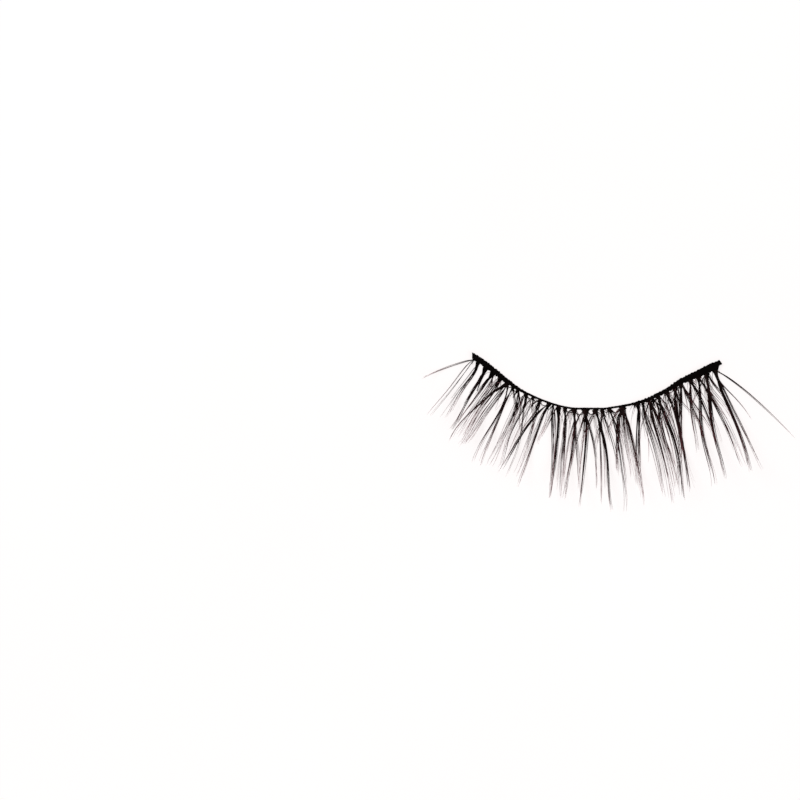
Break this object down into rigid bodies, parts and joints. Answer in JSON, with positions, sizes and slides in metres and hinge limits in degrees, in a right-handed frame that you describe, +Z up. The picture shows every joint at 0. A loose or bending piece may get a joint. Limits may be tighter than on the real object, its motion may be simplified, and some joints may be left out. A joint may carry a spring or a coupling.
{
  "type": "false eyelash strip",
  "caption": "Black strip lash lying flat: a curved band with tapered bundles of lash fibre along its outer edge, curling up to fine tips.",
  "frame": {"origin": "middle of the band's flat underside, on the surface that the strip lies on", "axes": "+X along the band from the short-lash end to the end with the tab, +Y towards the eyelid's side, +Z up off the surface"},
  "size_m": [0.0439, 0.019, 0.0047],
  "materials": {
    "band": "black thread coated with dried adhesive, soft satin",
    "lash": "fine black synthetic fibre, soft sheen, warm where thin"
  },
  "bodies": {
    "root": {"band": "band", "tuft_01": "lash", "tuft_02": "lash", "tuft_03": "lash", "tuft_04": "lash", "tuft_05": "lash", "tuft_06": "lash", "tuft_07": "lash", "tuft_08": "lash", "tuft_09": "lash", "tuft_10": "lash", "tuft_11": "lash", "tuft_12": "lash", "tuft_13": "lash", "tuft_14": "lash", "tuft_15": "lash", "tuft_16": "lash", "tuft_17": "lash", "tuft_18": "lash", "tuft_19": "lash", "tuft_20": "lash", "tuft_21": "lash", "tuft_22": "lash", "tuft_23": "lash", "tuft_24": "lash", "tuft_25": "lash", "tuft_26": "lash", "tuft_27": "lash", "tuft_28": "lash", "tuft_29": "lash", "tuft_30": "lash", "tuft_31": "lash", "tuft_32": "lash", "tuft_33": "lash", "tuft_34": "lash", "tuft_35": "lash", "tuft_36": "lash", "tuft_37": "lash", "tuft_38": "lash", "tuft_39": "lash", "tuft_40": "lash", "tuft_41": "lash", "tuft_42": "lash", "tuft_43": "lash", "tuft_44": "lash", "tuft_45": "lash"}
  },
  "joints": []
}
